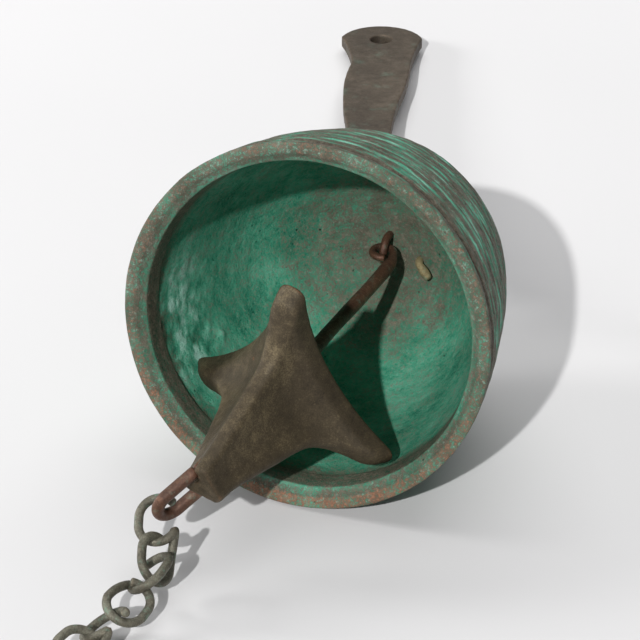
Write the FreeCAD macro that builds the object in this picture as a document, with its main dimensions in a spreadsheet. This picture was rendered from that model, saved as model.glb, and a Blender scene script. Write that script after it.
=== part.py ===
"""Hanging wind bell laid on its side: a cast bell, a three-finned clapper on a rod, a jack chain with its
wind sail, and the flat plate that the whole bell hangs from.

Lengths are millimetres, +Z is up and the table is Z = 0. The mouth of the bell opens along -Y, tipped up.
Each piece that moves is laid out by the direction that it points in and by the wire that it hooks over.
"""

import FreeCAD, Part
import math
import os

import Sketcher
from FreeCAD import Placement, Rotation, Vector

doc = FreeCAD.newDocument("wind_bell")

# ---------------------------------------------------------------- driving dimensions

SIZES = [
    ("mouth_radius", 57.5, "outside radius of the rim"),
    ("face_radius", 54.2, "inner edge of the flat rim face"),
    ("bevel_radius", 51.0, "inner edge of the bevel inside the rim"),
    ("bevel_depth", 2.5, "depth of that bevel"),
    ("band_radius", 50.0, "inner radius where the straight inner band ends"),
    ("band_depth", 10.0, "depth at which it ends"),
    ("wall_radius", 45.5, "outer radius where the wall meets the shoulder"),
    ("wall_height", 57.0, "its height above the mouth"),
    ("wall_curve", 310.0, "curve of the outer wall"),
    ("shoulder_radius", 34.0, "outer radius where the shoulder meets the crown"),
    ("shoulder_height", 76.0, "its height above the mouth"),
    ("shoulder_curve", 40.0, "curve of the shoulder"),
    ("crown_height", 87.0, "mouth to the top of the crown"),
    ("inner_wall_radius", 39.3, "inner radius where the wall meets the shoulder"),
    ("inner_wall_height", 52.0, "its height above the mouth"),
    ("inner_wall_curve", 168.0, "curve of the inner wall"),
    ("inner_shoulder_radius", 24.8, "inner radius where the shoulder meets the crown"),
    ("inner_shoulder_height", 72.0, "its height above the mouth"),
    ("inner_shoulder_curve", 50.0, "curve of the inner shoulder"),
    ("crown_depth", 80.0, "mouth to the inside of the crown"),
    ("groove_wire", 1.0, "radius of the groove turned behind the rim"),
    ("groove_height", 4.2, "height of that groove above the mouth"),
    ("staple_wire", 2.6, "wire of the crown staple"),
    ("staple_gauge", 8.6, "width of the staple along the centre line of its wire"),
    ("staple_reach", 26.0, "length of the staple along the centre line of its wire"),
    ("staple_hole", 2.7, "holes in the crown for wire"),
    ("rod_wire", 4.4, "clapper rod"),
    ("rod_length", 76.0, "tip of the rod to its end inside the clapper"),
    ("rod_taper", 8.0, "length over which the rod is drawn down to its eye"),
    ("rod_socket", 4.5, "hole in the clapper for the rod"),
    ("eye_wire", 2.6, "wire of the eye of the rod"),
    ("eye_gauge", 6.4, "width of that eye along the centre line of its wire"),
    ("ring_wire", 3.8, "wire of the clapper ring"),
    ("ring_gauge", 10.0, "width of the clapper ring along the centre line of its wire"),
    ("ring_reach", 19.6, "length of the clapper ring along the centre line of its wire"),
    ("link_wire", 2.7, "jack chain wire"),
    ("link_gauge", 11.6, "width of a loop along the centre line of its wire"),
    ("link_reach", 14.2, "length of a loop along the centre line of its wire"),
    ("link_waist", 1.6, "overlap of the two loops of a link"),
    ("small_wire", 3.0, "wire of the rings of the sail and of the plate"),
    ("small_gauge", 11.0, "width of those rings along the centre line of their wire"),
    ("small_reach", 16.0, "length of those rings along the centre line of their wire"),
    ("channel_wire", 5.8, "cored channel in the stem for the clapper ring"),
    ("plate_thickness", 4.6, "cast hanger plate"),
    ("sail_thickness", 3.6, "cast wind sail"),
    ("hanging_reach", 150.0, "ring hole of the hanger plate to its hanging hole"),
    ("ring_hole", 6.0, "holes of the plate and of the sail for their rings"),
    ("hanging_bore", 8.0, "hole that the whole bell hangs from"),
]

sheet = doc.addObject("Spreadsheet::Sheet", "Sizes")
for row, (alias, value, note) in enumerate(SIZES, start=1):
    sheet.set(f"A{row}", alias)
    sheet.set(f"B{row}", str(value))
    sheet.set(f"C{row}", note)
    sheet.setAlias(f"B{row}", alias)
doc.recompute()


def size(alias):
    """The value of one named cell of the sheet."""
    return float(sheet.get(alias))


# ---------------------------------------------------------------- layout on the table

TABLE_SHIFT = Vector(15.4, 28.5, 0)
BELL_TILT = 10.5                # degrees that the mouth is tipped up
MOUTH_HEIGHT = 57.3             # height of the middle of the mouth
PIVOT_DEPTH = 74.0              # mouth to the bow of the staple that the clapper hangs on

STUB_PLACE = Vector(10.8, 2.0, 76.5)        # elbow of the second wire, from the middle of the mouth
STUB_SLOPE = 22                 # slope of its bent end, which follows the inside of the crown

CLAPPER_BASE = Vector(-3.4, 1.5, 41.1)      # middle of the flat back of the clapper
STEM_DIRECTION = Vector(-0.23, -0.934, -0.273)
LOW_FIN = Vector(0.785, -0.012, -0.619)     # direction of the fin that lies lowest
ROD_OFFSET = 4.8                # centre of the rod to the centre of its eye

# Height above the back of the clapper, reach of its corners and their rounding; the first two bound the
# rims of the fins.
CLAPPER_SECTIONS = [
    (0, 40.0, 4.6),
    (5.5, 36.0, 4.4),
    (8.4, 29.5, 3.8),
    (12.2, 22.2, 3.4),
    (17.5, 17.4, 3.2),
    (29.4, 13.2, 3.0),
    (38, 10.4, 2.9),
    (45, 8.4, 2.9),
    (51, 7.6, 2.9),
]
CLAPPER_HOLLOW = 0.21           # how far its sides curve in, as a share of the reach beyond the stem

RING_TOP = Vector(-14.6, -39.6, 29.2)       # end of the clapper ring inside the stem
RING_DIRECTION = Vector(-0.60, -0.57, -0.56)
RING_SIDE = Vector(0.12, 0.616, -0.776)

HOOK_PLAY = 0.2                 # play between two wires that hook over each other
LINK_TWIST = -60                # degrees between the two loops of a link

# Heading from -Y, pitch, slack and roll of each piece of wire: degrees, except for the slack in millimetres.
CHAIN_LAY = [
    (18, -30, 1.2, 0),
    (-8, -11, 5.5, 0),
    (-14, -3, 0, -30),
    (-8, 0, 0, -30),
    (-3, 0, 0, -30),
    (2, 1, 0, -30),
    (6, 2, 0, -30),
    (10, 2, 0, -30),
]
SAIL_RING_LAY = (8, 1, 0, 0)
SAIL_LAY = (4, -2.3)
HANGER_LAY = [(215, -36, 0, 0), (214, -20, 0, 0)]
PLATE_RING_LAY = (212, -8, 0, 0)
PLATE_LAY = (197, -3.5)


def unit(vector):
    return Vector(vector).normalize()


def frame(origin, along, side):
    """The placement with local Z along a direction and local X as near to side as it can be."""
    z_axis = unit(along)
    x_axis = unit(side - z_axis * side.dot(z_axis))
    return Placement(origin, Rotation(x_axis, z_axis.cross(x_axis), z_axis, "ZXY"))


def direction(heading, pitch):
    """The direction at a heading from -Y, anticlockwise from above, and a pitch above the level."""
    level = math.cos(math.radians(pitch))
    turn = math.radians(heading)
    return Vector(math.sin(turn) * level, -math.cos(turn) * level, math.sin(math.radians(pitch)))


# ---------------------------------------------------------------- modelling helpers

subparts = []


def keep(obj, label, placement):
    """Name a finished sub-part and lay it in its place on the table."""
    obj.Label = label
    obj.Placement = Placement(TABLE_SHIFT, Rotation()) * placement
    subparts.append(obj)
    return obj


def new_body(name):
    return doc.addObject("PartDesign::Body", name)


def new_sketch(body, name, role, offset=0.0):
    """A sketch on one of the origin planes of a body, or parallel to it."""
    plane = next(item for item in body.Origin.OriginFeatures if item.Role == role)
    sketch = body.newObject("Sketcher::SketchObject", name)
    sketch.AttachmentSupport = [(plane, "")]
    sketch.MapMode = "FlatFace"
    sketch.AttachmentOffset = Placement(Vector(0, 0, offset), Rotation())
    return sketch


def fix_coordinate(sketch, kind, geo, pos, value):
    """Hold one coordinate of a point at a number, or at an expression of the sheet."""
    axis = -2 if kind == "DistanceX" else -1
    if value == 0:
        sketch.addConstraint(Sketcher.Constraint("PointOnObject", geo, pos, axis))
        return
    number = size(value) if isinstance(value, str) else value
    index = sketch.addConstraint(Sketcher.Constraint(kind, -1, 1, geo, pos, number))
    if isinstance(value, str):
        sketch.setExpression(f"Constraints[{index}]", f"Sizes.{value}")


def arc_geometry(start, end, radius):
    """The shorter arc from start to end; a positive radius turns anticlockwise."""
    chord = end - start
    rise = math.sqrt(radius ** 2 - (chord.Length / 2) ** 2)
    normal = Vector(-chord.y, chord.x, 0).normalize()
    centre = (start + end) * 0.5 + normal * math.copysign(rise, radius)
    angles = [math.atan2(p.y - centre.y, p.x - centre.x) for p in (start, end)]
    if radius < 0:
        angles.reverse()
    return Part.ArcOfCircle(Part.Circle(centre, Vector(0, 0, 1), abs(radius)), *angles)


def closed_outline(sketch, corners, curves):
    """A closed outline through named or numbered corners.

    curves[i] joins corner i to the next one: None for a line, a cell name or a number for the radius of an
    arc, with a minus for one that turns clockwise.
    """
    def number(value):
        return size(value) if isinstance(value, str) else float(value)

    points = [Vector(number(x), number(y), 0) for x, y in corners]
    ends = []
    for index, curve in enumerate(curves):
        start, end = points[index], points[(index + 1) % len(points)]
        if curve is None:
            geo = sketch.addGeometry(Part.LineSegment(start, end), False)
            ends.append((geo, 1, 2))
            continue
        sign = -1 if str(curve).startswith("-") else 1
        cell = str(curve).lstrip("-")
        radius = size(cell) if cell[0].isalpha() else float(cell)
        geo = sketch.addGeometry(arc_geometry(start, end, sign * radius), False)
        ends.append((geo, 1, 2) if sign > 0 else (geo, 2, 1))
        hold = sketch.addConstraint(Sketcher.Constraint("Radius", geo, radius))
        if cell[0].isalpha():
            sketch.setExpression(f"Constraints[{hold}]", f"Sizes.{cell}")
    for index, (geo, first, last) in enumerate(ends):
        following, next_first, _ = ends[(index + 1) % len(ends)]
        sketch.addConstraint(Sketcher.Constraint("Coincident", geo, last, following, next_first))
        fix_coordinate(sketch, "DistanceX", geo, first, corners[index][0])
        fix_coordinate(sketch, "DistanceY", geo, first, corners[index][1])


def half_ring(name, gauge, wire, turn, height):
    """Half a ring in the local XZ plane, open towards the middle of an oval."""
    ring = doc.addObject("Part::Torus", name)
    ring.setExpression("Radius1", f"{gauge} / 2")
    ring.setExpression("Radius2", f"{wire} / 2")
    ring.Angle3 = 180
    ring.Placement = Placement(Vector(), Rotation(Vector(1, 0, 0), turn))
    ring.setExpression("Placement.Base.z", height)
    return ring


def wire_side(name, gauge, wire, reach, sign):
    """One straight side of an oval."""
    side = doc.addObject("Part::Cylinder", name)
    side.setExpression("Radius", f"{wire} / 2")
    side.setExpression("Height", f"{reach} - {gauge}")
    side.setExpression("Placement.Base.x", f"{sign} * {gauge} / 2")
    side.setExpression("Placement.Base.z", f"{gauge} / 2")
    return side


def oval(name, family, wire=None):
    """A closed oval of wire in the local XZ plane.

    Its centre line starts at the local origin and runs to reach along +Z.
    """
    gauge, reach = f"Sizes.{family}_gauge", f"Sizes.{family}_reach"
    wire = f"Sizes.{wire or family + '_wire'}"
    fusion = doc.addObject("Part::MultiFuse", name)
    fusion.Shapes = [
        half_ring(f"{name}_near", gauge, wire, -90, f"{gauge} / 2"),
        half_ring(f"{name}_far", gauge, wire, 90, f"{reach} - {gauge} / 2"),
        wire_side(f"{name}_left", gauge, wire, reach, -1),
        wire_side(f"{name}_right", gauge, wire, reach, 1),
    ]
    return fusion


def jack_link(name):
    """A figure-eight link: two ovals of one wire, the second one twisted about the link."""
    near_loop = oval(f"{name}_near_loop", "link")
    far_loop = oval(f"{name}_far_loop", "link")
    far_loop.Placement = Placement(Vector(), Rotation(Vector(0, 0, 1), LINK_TWIST))
    far_loop.setExpression("Placement.Base.z", "Sizes.link_reach - Sizes.link_waist")
    link = doc.addObject("Part::MultiFuse", name)
    link.Shapes = [near_loop, far_loop]
    return link


class Hook:
    """The far end of an oval that the next piece hooks over: its middle, direction, normal and sizes."""

    def __init__(self, placement, family, start=0.0, twist=0.0):
        turned = placement * Placement(Vector(0, 0, start), Rotation(Vector(0, 0, 1), twist))
        self.radius = size(f"{family}_gauge") / 2
        self.wire = size(f"{family}_wire")
        self.middle = turned.multVec(Vector(0, 0, size(f"{family}_reach") - self.radius))
        self.along = turned.Rotation.multVec(Vector(0, 0, 1))
        self.normal = turned.Rotation.multVec(Vector(0, 1, 0))

    def pin(self, away):
        """The point of the wire that a pull in this direction bears on, and the line of the wire there."""
        level = unit(away - self.normal * away.dot(self.normal))
        return self.middle + level * self.radius, self.normal.cross(level)

    def hooked(self, away, wire, slack, roll):
        """The placement of an oval of this wire that hooks over this end and points away from it."""
        point, tangent = self.pin(away)
        top = point - away * ((self.wire + wire) / 2 + HOOK_PLAY + slack)
        return frame(top, away, tangent.cross(away)) * Placement(Vector(), Rotation(Vector(0, 0, 1), roll))


# ---------------------------------------------------------------- bell

bell_up = direction(180, -BELL_TILT)
bell_place = frame(Vector(0, 0, MOUTH_HEIGHT), bell_up, Vector(1, 0, 0))

bell_body = new_body("BellShell")
profile = new_sketch(bell_body, "BellProfile", "XZ_Plane")
closed_outline(
    profile,
    [
        (0, "crown_height"),
        ("shoulder_radius", "shoulder_height"),
        ("wall_radius", "wall_height"),
        ("mouth_radius", 0),
        ("face_radius", 0),
        ("bevel_radius", "bevel_depth"),
        ("band_radius", "band_depth"),
        ("inner_wall_radius", "inner_wall_height"),
        ("inner_shoulder_radius", "inner_shoulder_height"),
        (0, "crown_depth"),
    ],
    [
        -58.0,
        "-shoulder_curve",
        "-wall_curve",
        None,
        None,
        None,
        "inner_wall_curve",
        "inner_shoulder_curve",
        42.5,
        None,
    ],
)
bell_turning = bell_body.newObject("PartDesign::Revolution", "BellTurning")
bell_turning.Profile = profile
bell_turning.ReferenceAxis = (profile, ["V_Axis"])
bell_turning.Angle = 360

groove = new_sketch(bell_body, "RimGroove", "XZ_Plane")
groove_circle = groove.addGeometry(Part.Circle(Vector(57.6, 4.2, 0), Vector(0, 0, 1), 1.0), False)
groove.addConstraint(Sketcher.Constraint("Radius", groove_circle, 1.0))
groove.setExpression("Constraints[0]", "Sizes.groove_wire")
groove.addConstraint(Sketcher.Constraint("DistanceX", -1, 1, groove_circle, 3, 57.6))
groove.setExpression("Constraints[1]", "Sizes.mouth_radius + 0.1")
groove.addConstraint(Sketcher.Constraint("DistanceY", -1, 1, groove_circle, 3, 4.2))
groove.setExpression("Constraints[2]", "Sizes.groove_height")
rim_groove = bell_body.newObject("PartDesign::Groove", "RimGrooveCut")
rim_groove.Profile = groove
rim_groove.ReferenceAxis = (groove, ["V_Axis"])
rim_groove.Angle = 360

crown_holes = new_sketch(bell_body, "CrownHoles", "XY_Plane")
for x, y in [(0, size("staple_gauge") / 2), (0, -size("staple_gauge") / 2), (STUB_PLACE.x, STUB_PLACE.y)]:
    circle = Part.Circle(Vector(x, y, 0), Vector(0, 0, 1), size("staple_hole") / 2)
    hole = crown_holes.addGeometry(circle, False)
    hold = crown_holes.addConstraint(Sketcher.Constraint("Radius", hole, size("staple_hole") / 2))
    crown_holes.setExpression(f"Constraints[{hold}]", "Sizes.staple_hole / 2")
crown_drilling = bell_body.newObject("PartDesign::Pocket", "CrownDrilling")
crown_drilling.Profile = crown_holes
crown_drilling.Type = 1
crown_drilling.Reversed = True
keep(bell_body, "bell_shell", bell_place)

# The staple passes through the crown: the clapper hangs on its inner bow, the hanger on its outer one.
staple_place = bell_place * frame(Vector(0, 0, PIVOT_DEPTH), Vector(0, 0, 1), Vector(0, 1, 0))
keep(oval("CrownStaple", "staple"), "crown_staple", staple_place)

# A second wire comes through the crown beside the staple and is bent flat against the inside.
stub_leg = doc.addObject("Part::Cylinder", "StubLeg")
stub_leg.setExpression("Radius", "Sizes.staple_wire / 2")
stub_leg.Height = 11
stub_elbow = doc.addObject("Part::Sphere", "StubElbow")
stub_elbow.setExpression("Radius", "Sizes.staple_wire / 2")
stub_flat = doc.addObject("Part::Cylinder", "StubFlat")
stub_flat.setExpression("Radius", "Sizes.staple_wire / 2")
stub_flat.Height = 6
stub_flat.Placement = Placement(Vector(), Rotation(Vector(0, 1, 0), 90 + STUB_SLOPE))
stub_tip = doc.addObject("Part::Sphere", "StubTip")
stub_tip.setExpression("Radius", "Sizes.staple_wire / 2")
stub_tip.Placement = Placement(stub_flat.Placement.multVec(Vector(0, 0, 6)), Rotation())
crown_stub = doc.addObject("Part::MultiFuse", "CrownStub")
crown_stub.Shapes = [stub_leg, stub_elbow, stub_flat, stub_tip]
keep(crown_stub, "crown_stub", bell_place * Placement(STUB_PLACE, Rotation()))

# ---------------------------------------------------------------- clapper

pivot = bell_place.multVec(Vector(0, 0, PIVOT_DEPTH))
to_clapper = CLAPPER_BASE - pivot
eye_side = unit(Vector(1, 0, 0) - to_clapper * (to_clapper.x / to_clapper.Length ** 2))
rod_place = frame(pivot, to_clapper - eye_side * ROD_OFFSET, Vector(1, 0, 0))

# The eye hangs on the bow of the staple, beside the drawn-down top of the rod.
rod_shaft = doc.addObject("Part::Cylinder", "RodShaft")
rod_shaft.setExpression("Radius", "Sizes.rod_wire / 2")
rod_shaft.setExpression("Height", "Sizes.rod_length - Sizes.rod_taper")
rod_shaft.Placement = Placement(Vector(ROD_OFFSET, 0, 0), Rotation())
rod_shaft.setExpression("Placement.Base.z", "Sizes.rod_taper - Sizes.eye_gauge / 2")
rod_tip = doc.addObject("Part::Cone", "RodTip")
rod_tip.setExpression("Radius1", "Sizes.eye_wire / 2")
rod_tip.setExpression("Radius2", "Sizes.rod_wire / 2")
rod_tip.setExpression("Height", "Sizes.rod_taper")
rod_tip.Placement = Placement(Vector(ROD_OFFSET, 0, 0), Rotation())
rod_tip.setExpression("Placement.Base.z", "-Sizes.eye_gauge / 2")
rod_end = doc.addObject("Part::Sphere", "RodEnd")
rod_end.setExpression("Radius", "Sizes.eye_wire / 2")
rod_end.Placement = Placement(Vector(ROD_OFFSET, 0, 0), Rotation())
rod_end.setExpression("Placement.Base.z", "-Sizes.eye_gauge / 2")
rod_eye = doc.addObject("Part::Torus", "RodEye")
rod_eye.setExpression("Radius1", "Sizes.eye_gauge / 2")
rod_eye.setExpression("Radius2", "Sizes.eye_wire / 2")
rod_eye.Placement = Placement(Vector(), Rotation(Vector(1, 0, 0), 90))
clapper_rod = doc.addObject("Part::MultiFuse", "ClapperRod")
clapper_rod.Shapes = [rod_shaft, rod_tip, rod_end, rod_eye]
keep(clapper_rod, "clapper_rod", rod_place)


def hollow_triangle(body, name, height, reach, corner):
    """A section of the clapper: three rounded corners at this reach, joined by hollow sides."""
    sketch = new_sketch(body, name, "XY_Plane", height)
    out = reach - corner
    hollow = 0.1 + CLAPPER_HOLLOW * (reach - CLAPPER_SECTIONS[-1][1])
    inner = out / 2 - hollow
    side_out = (out ** 2 - inner ** 2) / (2 * hollow)
    side_radius = side_out - inner - corner
    opening = math.atan2(out * math.sin(math.pi / 3), side_out - out / 2)
    half = math.radians(60) + opening
    for k in range(3):
        turn = math.radians(120 * k)
        middle = Vector(math.cos(turn), math.sin(turn), 0) * out
        circle = Part.Circle(middle, Vector(0, 0, 1), corner)
        arc = sketch.addGeometry(Part.ArcOfCircle(circle, turn - half, turn + half), False)
        facing = turn + math.radians(60)
        side_middle = Vector(math.cos(facing), math.sin(facing), 0) * side_out
        side_circle = Part.Circle(side_middle, Vector(0, 0, 1), side_radius)
        start, end = facing + math.pi - opening, facing + math.pi + opening
        side = sketch.addGeometry(Part.ArcOfCircle(side_circle, start, end), False)
        sketch.addConstraint(Sketcher.Constraint("Radius", arc, corner))
        sketch.addConstraint(Sketcher.Constraint("DistanceX", -1, 1, arc, 3, middle.x))
        if k:
            sketch.addConstraint(Sketcher.Constraint("DistanceY", -1, 1, arc, 3, middle.y))
        else:
            sketch.addConstraint(Sketcher.Constraint("PointOnObject", arc, 3, -1))
        sketch.addConstraint(Sketcher.Constraint("Radius", side, side_radius))
    for k in range(3):
        corner_arc, side_arc, next_corner = 2 * k, 2 * k + 1, (2 * k + 2) % 6
        sketch.addConstraint(Sketcher.Constraint("Coincident", corner_arc, 2, side_arc, 2))
        sketch.addConstraint(Sketcher.Constraint("Coincident", side_arc, 1, next_corner, 1))
    return sketch


def loft(body, name, sections):
    feature = body.newObject("PartDesign::AdditiveLoft", name)
    feature.Profile = sections[0]
    feature.Sections = sections[1:]
    return feature


clapper_place = frame(CLAPPER_BASE, STEM_DIRECTION, LOW_FIN)
clapper_body = new_body("Clapper")
sections = [
    hollow_triangle(clapper_body, f"ClapperSection{index}", *section)
    for index, section in enumerate(CLAPPER_SECTIONS)
]
loft(clapper_body, "Fins", sections[:2])
loft(clapper_body, "Stem", sections[1:])

# The rod sits in a socket in the back, and the ring runs in a channel through the end of the stem.
rod_socket = doc.addObject("Part::Cylinder", "RodSocket")
rod_socket.setExpression("Radius", "Sizes.rod_socket / 2")
rod_socket.Height = 20
rod_top = rod_place * Placement(Vector(ROD_OFFSET, 0, 0), Rotation())
rod_end_at = size("rod_length") - size("eye_gauge") / 2
socket_start = Placement(Vector(0, 0, rod_end_at - 19.9), Rotation())
rod_socket.Placement = clapper_place.inverse() * rod_top * socket_start

ring_place = frame(RING_TOP, RING_DIRECTION, RING_SIDE)
channel = oval("RingChannel", "ring", "channel_wire")
channel.Placement = clapper_place.inverse() * ring_place
cuts = doc.addObject("Part::MultiFuse", "ClapperCuts")
cuts.Shapes = [rod_socket, channel]
clapper = doc.addObject("Part::Cut", "ClapperCast")
clapper.Base = clapper_body
clapper.Tool = cuts
keep(clapper, "clapper", clapper_place)

keep(oval("ClapperRing", "ring"), "clapper_ring", ring_place)

# ---------------------------------------------------------------- jack chain and wind sail

joints = []


def lay_wire(hook, lay, family, label, build):
    """Build a piece of wire, hook it over the last one and note the pin that it turns about."""
    heading, pitch, slack, roll = lay
    away = direction(heading, pitch)
    place = hook.hooked(away, size(f"{family}_wire"), slack, roll)
    keep(build(label.title().replace("_", "")), label, place)
    joints.append((label, *hook.pin(away)))
    return place


def small_ring(name):
    return oval(name, "small")


def cast_plate(name, corners, curves, holes, thickness):
    """A flat cast plate: its outline, and holes given as a place along it and the cell of a diameter."""
    body = new_body(name)
    outline = new_sketch(body, f"{name}Outline", "XY_Plane")
    closed_outline(outline, corners, curves)
    pad = body.newObject("PartDesign::Pad", f"{name}Pad")
    pad.Profile = outline
    pad.setExpression("Length", f"Sizes.{thickness}")
    drilling = new_sketch(body, f"{name}Holes", "XY_Plane")
    for along, bore in holes:
        hole = drilling.addGeometry(Part.Circle(Vector(along, 0, 0), Vector(0, 0, 1), size(bore) / 2), False)
        hold = drilling.addConstraint(Sketcher.Constraint("Radius", hole, size(bore) / 2))
        drilling.setExpression(f"Constraints[{hold}]", f"Sizes.{bore} / 2")
    pocket = body.newObject("PartDesign::Pocket", f"{name}Drilling")
    pocket.Profile = drilling
    pocket.Type = 1
    pocket.Reversed = True
    return body


def lay_plate(hook, lay, body, label, thickness):
    """Lay a plate flat in a direction, with its first hole around the end of the ring before it."""
    away = direction(*lay)
    point, tangent = hook.pin(away)
    up = unit(Vector(0, 0, 1) - away * away.z)
    place = Placement(point, Rotation(away, up.cross(away), up, "ZXY"))
    keep(body, label, place * Placement(Vector(0, 0, -size(thickness) / 2), Rotation()))
    joints.append((label, point, tangent))


far_start = size("link_reach") - size("link_waist")
hook = Hook(ring_place, "ring")
for number, lay in enumerate(CHAIN_LAY, start=1):
    place = lay_wire(hook, lay, "link", f"chain_link_{number}", jack_link)
    hook = Hook(place, "link", far_start, LINK_TWIST)
place = lay_wire(hook, SAIL_RING_LAY, "small", "sail_ring", small_ring)

sail = cast_plate(
    "WindSail",
    [(0, -7.2), (30, -21), (72, -37), (104, -24), (108, 12), (80, 33), (34, 24), (0, 7.2)],
    ["-70", "60", "38", "24", "40", "-90", "-60", "7.3"],
    [(0, "ring_hole")],
    "sail_thickness",
)
lay_plate(Hook(place, "small"), SAIL_LAY, sail, "wind_sail", "sail_thickness")

# ---------------------------------------------------------------- hanger

hook = Hook(staple_place, "staple")
for number, lay in enumerate(HANGER_LAY, start=1):
    place = lay_wire(hook, lay, "link", f"hanger_link_{number}", jack_link)
    hook = Hook(place, "link", far_start, LINK_TWIST)
place = lay_wire(hook, PLATE_RING_LAY, "small", "hanger_ring", small_ring)

plate = cast_plate(
    "HangerPlate",
    [
        (0, -7.2),
        (66, -6.2),
        (96, -8.6),
        (126, -11.6),
        (152, -15.5),
        (152, 15),
        (128, 10.2),
        (100, 12.2),
        (66, 8.8),
        (0, 7.2),
    ],
    ["-400", "-260", "170", "-140", "16", "-90", "120", "200", "-500", "7.3"],
    [(0, "ring_hole"), (size("hanging_reach"), "hanging_bore")],
    "plate_thickness",
)
lay_plate(Hook(place, "small"), PLATE_LAY, plate, "hanger_plate", "plate_thickness")

# ---------------------------------------------------------------- checking and writing

doc.recompute()
for item in doc.Objects:
    if {"Invalid", "Error"} & set(item.State):
        raise RuntimeError(f"{item.Name}: {item.State}")
os.makedirs("parts", exist_ok=True)
for node in subparts:
    shape = node.Shape
    if shape.isNull() or not shape.isValid():
        raise RuntimeError(f"{node.Label}: bad shape")
    shape.exportStep(f"parts/{node.Label}.step")

# Where each piece of wire or plate hinges on the one before it, and the line that it turns about.
for label, point, tangent in joints:
    print(label, "hinges at", point + TABLE_SHIFT, "about", tangent)
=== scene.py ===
"""Looks of the hanging wind bell: cast bell and clapper, bent wire, jack chain and cast plates."""

import math

import bmesh
import bpy
from mathutils import Matrix, Vector, noise


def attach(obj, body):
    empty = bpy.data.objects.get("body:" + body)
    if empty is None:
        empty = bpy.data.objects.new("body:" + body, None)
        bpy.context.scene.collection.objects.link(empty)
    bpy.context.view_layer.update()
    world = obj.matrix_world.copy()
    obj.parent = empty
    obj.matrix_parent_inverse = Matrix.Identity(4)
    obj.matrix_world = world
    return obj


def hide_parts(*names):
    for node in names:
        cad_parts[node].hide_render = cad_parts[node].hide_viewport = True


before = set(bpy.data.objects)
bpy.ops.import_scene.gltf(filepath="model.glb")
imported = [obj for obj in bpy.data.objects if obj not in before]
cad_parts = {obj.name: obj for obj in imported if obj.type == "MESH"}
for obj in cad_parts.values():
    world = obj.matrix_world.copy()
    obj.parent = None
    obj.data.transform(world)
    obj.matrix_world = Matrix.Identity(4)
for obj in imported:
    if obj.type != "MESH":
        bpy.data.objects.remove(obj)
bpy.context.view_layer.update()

MM = 0.001

# ---------------------------------------------------------------- the bell's own frame

TABLE_SHIFT = Vector((15.4, 28.5, 0)) * MM
BELL_TILT = math.radians(10.5)
MOUTH = Vector((0, 0, 57.3)) * MM + TABLE_SHIFT
BELL_UP = Vector((0, math.cos(BELL_TILT), -math.sin(BELL_TILT)))


def axes(origin, along, side):
    """The matrix with local Z along a direction and local X as near to side as it can be."""
    z_axis = along.normalized()
    x_axis = (side - z_axis * side.dot(z_axis)).normalized()
    turn = Matrix((x_axis, z_axis.cross(x_axis), z_axis)).transposed()
    return Matrix.Translation(origin) @ turn.to_4x4()


BELL = axes(MOUTH, BELL_UP, Vector((1, 0, 0)))

# ---------------------------------------------------------------- meshes


def add_mesh(name, vertices, faces, matrix=None):
    """A smooth-shaded piece, its mesh moved into place by a matrix."""
    mesh = bpy.data.meshes.new(name)
    mesh.from_pydata(vertices, [], faces)
    shape = bmesh.new()
    shape.from_mesh(mesh)
    bmesh.ops.recalc_face_normals(shape, faces=shape.faces)
    shape.to_mesh(mesh)
    shape.free()
    mesh.update()
    mesh.shade_smooth()
    if matrix is not None:
        mesh.transform(matrix)
    piece = bpy.data.objects.new(name, mesh)
    bpy.context.scene.collection.objects.link(piece)
    return piece


def apply_modifiers(piece):
    """Replace the mesh of a piece by what its modifiers make of it."""
    graph = bpy.context.evaluated_depsgraph_get()
    mesh = bpy.data.meshes.new_from_object(piece.evaluated_get(graph))
    piece.modifiers.clear()
    piece.data = mesh


def catmull_rom(p, q, r, s, t):
    """The value between q and r, at a share t of the way, of the smooth curve through four values."""
    bend = 2 * p - 5 * q + 4 * r - s
    twist = 3 * q - p - 3 * r + s
    return 0.5 * (2 * q + (r - p) * t + bend * t**2 + twist * t**3)


def smooth_curve(points, steps):
    """A smooth curve through points of any number of values, a number of steps for each span."""
    ends = [points[0]] + list(points) + [points[-1]]
    out = []
    for a, b, c, d in zip(ends, ends[1:], ends[2:], ends[3:]):
        for step in range(steps):
            out.append(tuple(catmull_rom(*values, step / steps) for values in zip(a, b, c, d)))
    out.append(tuple(points[-1]))
    return out


def bumps(point, scale, seed=0.0, octaves=4):
    """Smooth seeded noise between about -1 and 1 at a scale in metres."""
    return noise.fractal(point / scale + Vector((seed, -seed, 0.37 * seed)), 1.0, 2.0, octaves)


def bands(rings, sides):
    """The faces between rings of vertices, each ring with this many sides."""
    faces = []
    for index in range(rings - 1):
        for step in range(sides):
            a = index * sides + step
            b = index * sides + (step + 1) % sides
            faces.append((a, b, b + sides, a + sides))
    return faces


def capped_bands(rings, sides):
    """The same, closed at both ends."""
    last = (rings - 1) * sides
    return bands(rings, sides) + [tuple(reversed(range(sides))), tuple(range(last, last + sides))]


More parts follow.
